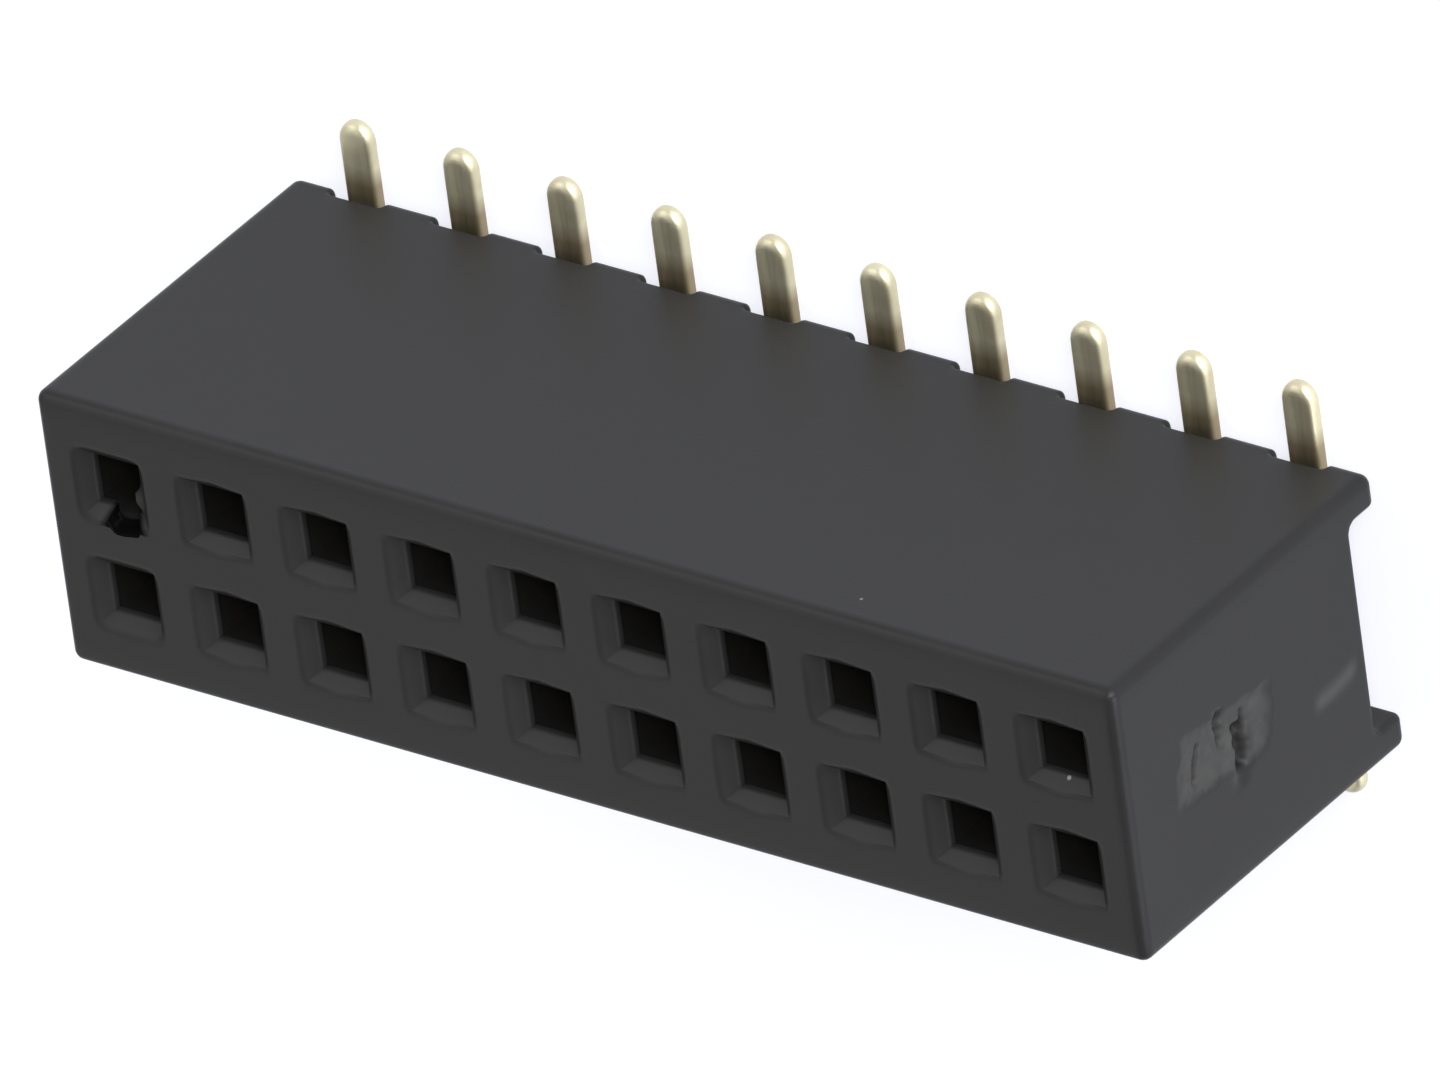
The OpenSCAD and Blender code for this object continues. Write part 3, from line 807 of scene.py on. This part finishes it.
# The second colour on the next line is near-black painted shade for the chip and the deep grooves of the scar.
TORN_PLASTIC, PAINTED_SHADE_BLACK = (0.062, 0.062, 0.060, 1), (0.002, 0.002, 0.002, 1)
DUST, PALE_SPECK = (0.20, 0.19, 0.17, 1), (0.19, 0.185, 0.175, 1)
SPECKS_MM = [  # place and radius
    (3.27, 1.57, 4.17, 0.022), (-4.20, -0.27, 4.53, 0.030), (-2.13, -0.68, 4.40, 0.020),
    (-2.45, -0.58, 4.50, 0.018), (5.77, 0.34, 4.43, 0.030)]
SPECULAR, SPECULAR_IN_PAINTED_SHADE = 0.25, 0.02
moulding, tree, shader = start_material("black_moulding")
place = add_node(tree, "ShaderNodeTexCoord").outputs["Object"]
skin_grain = place_group(tree, grain, {"Vector": place, "Grain": 42000.0, "Drift": 420.0})
dust = place_group(tree, specks, {"Vector": place, "Scale": 2600.0, "Size": 0.035, "Share": 0.008})["Mask"]
torn_at = add_node(tree, "ShaderNodeAttribute", attribute_name="torn").outputs["Fac"]
colour = mix_colours(tree, spread(tree, skin_grain["Drift"], 0.35, 0.65, 0, 1), BLACK, BLACK_PALER)
colour = mix_colours(tree, torn_at, colour, TORN_PLASTIC)
colour = mix_colours(tree, dust, colour, DUST)
for x, y, z, radius in SPECKS_MM:
    centre = (x * MM, y * MM, z * MM)
    speck = place_group(tree, spot, {"Vector": place, "Centre": centre, "Radius": radius * MM})["Mask"]
    colour = mix_colours(tree, speck, colour, PALE_SPECK)
# Painted shade: the chip and the deep grooves of the scar are painted near black and given little shine.
painted_shade_at = add_node(tree, "ShaderNodeAttribute", attribute_name="painted_shade").outputs["Fac"]
tree.links.new(mix_colours(tree, painted_shade_at, colour, PAINTED_SHADE_BLACK), shader.inputs["Base Color"])
tree.links.new(spread(tree, painted_shade_at, 0, 1, SPECULAR, SPECULAR_IN_PAINTED_SHADE), shader.inputs["Specular IOR Level"])
gloss = spread(tree, skin_grain["Drift"], 0.3, 0.7, 0.36, 0.46)
gloss = add_node(tree, "ShaderNodeMath", {0: torn_at, 1: 0.25, 2: gloss}, operation="MULTIPLY_ADD").outputs[0]
tree.links.new(gloss, shader.inputs["Roughness"])
bump = add_node(tree, "ShaderNodeBump", {"Height": skin_grain["Height"], "Strength": 0.35, "Distance": 4e-6})
tree.links.new(bump.outputs["Normal"], shader.inputs["Normal"])
shader.inputs["IOR"].default_value = 1.42
insulator.data.materials.append(moulding)
print("finish:", moulding.name)

# %% [markdown]
# ## Plated strip
#
# The contacts are a copper alloy with a thin flash of pale gold. Rolling leaves faint lines along the strip, which
# follow the blank's own map. The punched rim is rougher and catches light from every side. Brown painted shade lies
# on the strip for a short way where it comes out from under the block, for the block's shadow and its dark
# reflection there, and it fades out along the foot.

# %% Contact finish
# The third colour is brown painted shade, for the block's shadow on the strip and its dark reflection near the block.
GOLD, GOLD_DULL, PAINTED_SHADE_BROWN = (0.72, 0.68, 0.50, 1), (0.60, 0.55, 0.38, 1), (0.33, 0.265, 0.16, 1)
PAINTED_SHADE_END = BODY_W / 2 * MM + np.array([0.10, 0.32]) * MM
PAINTED_SHADE_SHARE = 0.85
plating, tree, shader = start_material("pale_gold_plating")
place = add_node(tree, "ShaderNodeTexCoord").outputs["Object"]
blank = add_node(tree, "ShaderNodeUVMap", uv_map="blank").outputs["UV"]
drawn_out = add_node(tree, "ShaderNodeMapping", {"Vector": blank, "Scale": (1.0, 0.05, 1.0)}).outputs["Vector"]
rolled = place_group(tree, grain, {"Vector": drawn_out, "Grain": 60.0, "Drift": 9.0})
cloudy = place_group(tree, grain, {"Vector": place, "Grain": 60000.0, "Drift": 2500.0})
dust = place_group(tree, specks, {"Vector": place, "Scale": 5000.0, "Size": 0.06, "Share": 0.03})["Mask"]
sheared_at = add_node(tree, "ShaderNodeAttribute", attribute_name="sheared").outputs["Fac"]
colour = mix_colours(tree, spread(tree, cloudy["Drift"], 0.35, 0.70, 0, 0.8), GOLD, GOLD_DULL)
colour = mix_colours(tree, dust, colour, GOLD_DULL)
# Painted shade: a brown band where the strip leaves the block, full for 0.10 mm from the block's side and gone by
# 0.32 mm.
across_rows = add_node(tree, "ShaderNodeSeparateXYZ", {"Vector": place}).outputs["Y"]
from_middle = add_node(tree, "ShaderNodeMath", {0: across_rows}, operation="ABSOLUTE")
painted_shade_near_block = spread(tree, from_middle.outputs[0], PAINTED_SHADE_END[0], PAINTED_SHADE_END[1], PAINTED_SHADE_SHARE, 0.0)
tree.links.new(mix_colours(tree, painted_shade_near_block, colour, PAINTED_SHADE_BROWN), shader.inputs["Base Color"])
gloss = spread(tree, rolled["Drift"], 0.3, 0.7, 0.42, 0.54)
gloss = add_node(tree, "ShaderNodeMath", {0: sheared_at, 1: 0.10, 2: gloss}, operation="MULTIPLY_ADD").outputs[0]
tree.links.new(gloss, shader.inputs["Roughness"])
height = add_node(tree, "ShaderNodeMath", {0: rolled["Height"], 1: cloudy["Height"]}, operation="ADD").outputs[0]
bump = add_node(tree, "ShaderNodeBump", {"Height": height, "Strength": 0.3, "Distance": 2e-6})
tree.links.new(bump.outputs["Normal"], shader.inputs["Normal"])
shader.inputs["Metallic"].default_value = 1.0
for piece in contacts:
    piece.data.materials.append(plating)
print("finish:", plating.name, "on", len(contacts), "pieces")

# %% [markdown]
# ## Floor
#
# The part lies on a plain white table under soft light. The table is seen from above only, so that it doesn't hide
# the part from below. It is a little brighter to the camera and in reflections than the light alone makes it, which
# gives a white ground, and it keeps the part's soft shadow.

# %% Floor
FLOOR_HALF, FLOOR_DROP = 0.5, 2e-6
GLOW_SEEN, GLOW_REFLECTED = 0.74, 0.77
TABLE_GREY, GLOW_TINT = (0.35, 0.35, 0.35, 1), (0.95, 0.97, 1.06, 1)
table_mesh = bpy.data.meshes.new("table")
table_mesh.from_pydata(
    [(x * FLOOR_HALF, y * FLOOR_HALF, -FLOOR_DROP) for x, y in ((-1, -1), (1, -1), (1, 1), (-1, 1))],
    [], [(0, 1, 2, 3)])
table = bpy.data.objects.new("table", table_mesh)
bpy.context.scene.collection.objects.link(table)
table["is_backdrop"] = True
table_top = bpy.data.materials.new("white_table")
table_top.use_nodes = True
tree = table_top.node_tree
tree.nodes.clear()
ray = add_node(tree, "ShaderNodeLightPath").outputs
looked_at = ray["Is Camera Ray"]
for kind in ("Is Glossy Ray", "Is Transmission Ray"):
    looked_at = add_node(tree, "ShaderNodeMath", {0: looked_at, 1: ray[kind]}, operation="MAXIMUM").outputs[0]
level = spread(tree, ray["Is Camera Ray"], 0, 1, GLOW_REFLECTED, GLOW_SEEN)
lift = add_node(tree, "ShaderNodeMath", {0: looked_at, 1: level}, operation="MULTIPLY")
matt = add_node(tree, "ShaderNodeBsdfDiffuse", {"Color": TABLE_GREY})
glow = add_node(tree, "ShaderNodeEmission", {"Color": GLOW_TINT, "Strength": lift.outputs[0]})
front = add_node(tree, "ShaderNodeAddShader", {0: matt.outputs[0], 1: glow.outputs[0]})
clear = add_node(tree, "ShaderNodeBsdfTransparent")
behind = add_node(tree, "ShaderNodeNewGeometry").outputs["Backfacing"]
whole = add_node(tree, "ShaderNodeMixShader", {0: behind, 1: front.outputs[0], 2: clear.outputs[0]})
add_node(tree, "ShaderNodeOutputMaterial", {"Surface": whole.outputs[0]})
table_mesh.materials.append(table_top)
print("table:", 2 * FLOOR_HALF, "m square")

# %% [markdown]
# ## Room light
#
# The room itself is an even grey-white light, brighter near the table than overhead, so that the sides of the part
# are a little lighter than a face that looks up. The camera sees plain white past the table.

# %% Room light
HORIZON, OVERHEAD = 0.60, 0.28
world = bpy.data.worlds.new("room")
bpy.context.scene.world = world
world.use_nodes = True
tree = world.node_tree
tree.nodes.clear()
direction = add_node(tree, "ShaderNodeTexCoord").outputs["Generated"]
height = add_node(tree, "ShaderNodeSeparateXYZ", {"Vector": direction}).outputs["Z"]
room = spread(tree, height, 0.0, 0.8, HORIZON, OVERHEAD)
ray = add_node(tree, "ShaderNodeLightPath").outputs
seen = add_node(tree, "ShaderNodeMix", {0: ray["Is Camera Ray"], 2: room, 3: 1.0}, data_type="FLOAT").outputs[0]
backdrop = add_node(tree, "ShaderNodeBackground", {"Color": (1, 1, 1, 1), "Strength": seen})
add_node(tree, "ShaderNodeOutputWorld", {"Surface": backdrop.outputs[0]})
print("room:", HORIZON, "at the table's edge,", OVERHEAD, "overhead")

# %% [markdown]
# ## Soft lamps
#
# Six soft lamps stand round the part. Three stand behind it, where the mating face and its rounded edges mirror them
# towards the camera. Two stand low, one in front and one before the end. A small warm one near the camera reaches
# into the openings.

# %% Soft lamps
def add_lamp(name, place, size, power, colour):
    """A square soft lamp that looks at the part. Places and sizes are in metres."""
    lamp = bpy.data.objects.new(name, bpy.data.lights.new(name, "AREA"))
    lamp.data.size = size
    lamp.data.energy = power
    lamp.data.color = colour
    away = Vector(place) - AIM
    lamp.matrix_world = Matrix.Translation(place) @ away.to_track_quat("Z", "Y").to_matrix().to_4x4()
    bpy.context.scene.collection.objects.link(lamp)


add_lamp("back_softbox", (-0.245, 0.284, 0.248), 0.26, 0.46, (1.0, 1.0, 0.99))
add_lamp("upper_softbox", (-0.245, 0.030, 0.370), 0.26, 0.26, (1.0, 1.0, 0.99))
add_lamp("left_softbox", (-0.240, -0.285, 0.255), 0.26, 0.20, (1.0, 0.99, 0.96))
add_lamp("low_front_softbox", (0.306, 0.306, 0.122), 0.25, 2.0, (0.88, 0.92, 1.0))
add_lamp("end_softbox", (0.42, -0.10, 0.10), 0.20, 1.0, (0.94, 0.96, 1.0))
add_lamp("front_softbox", (0.245, 0.235, 0.295), 0.12, 0.8, (1.0, 0.93, 0.82))
bpy.context.scene.view_settings.view_transform = "Standard"

# %% [markdown]
# ## Sizes
#
# The new pieces must keep the imported model's size. Both boxes are written out so that they can be compared.

# %% Sizes
visual_low, visual_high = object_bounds()
for name, low, high in (("packed", cad_low, cad_high), ("shown", visual_low, visual_high)):
    print(name, [round((b - a) / MM, 3) for a, b in zip(low, high)], "mm")
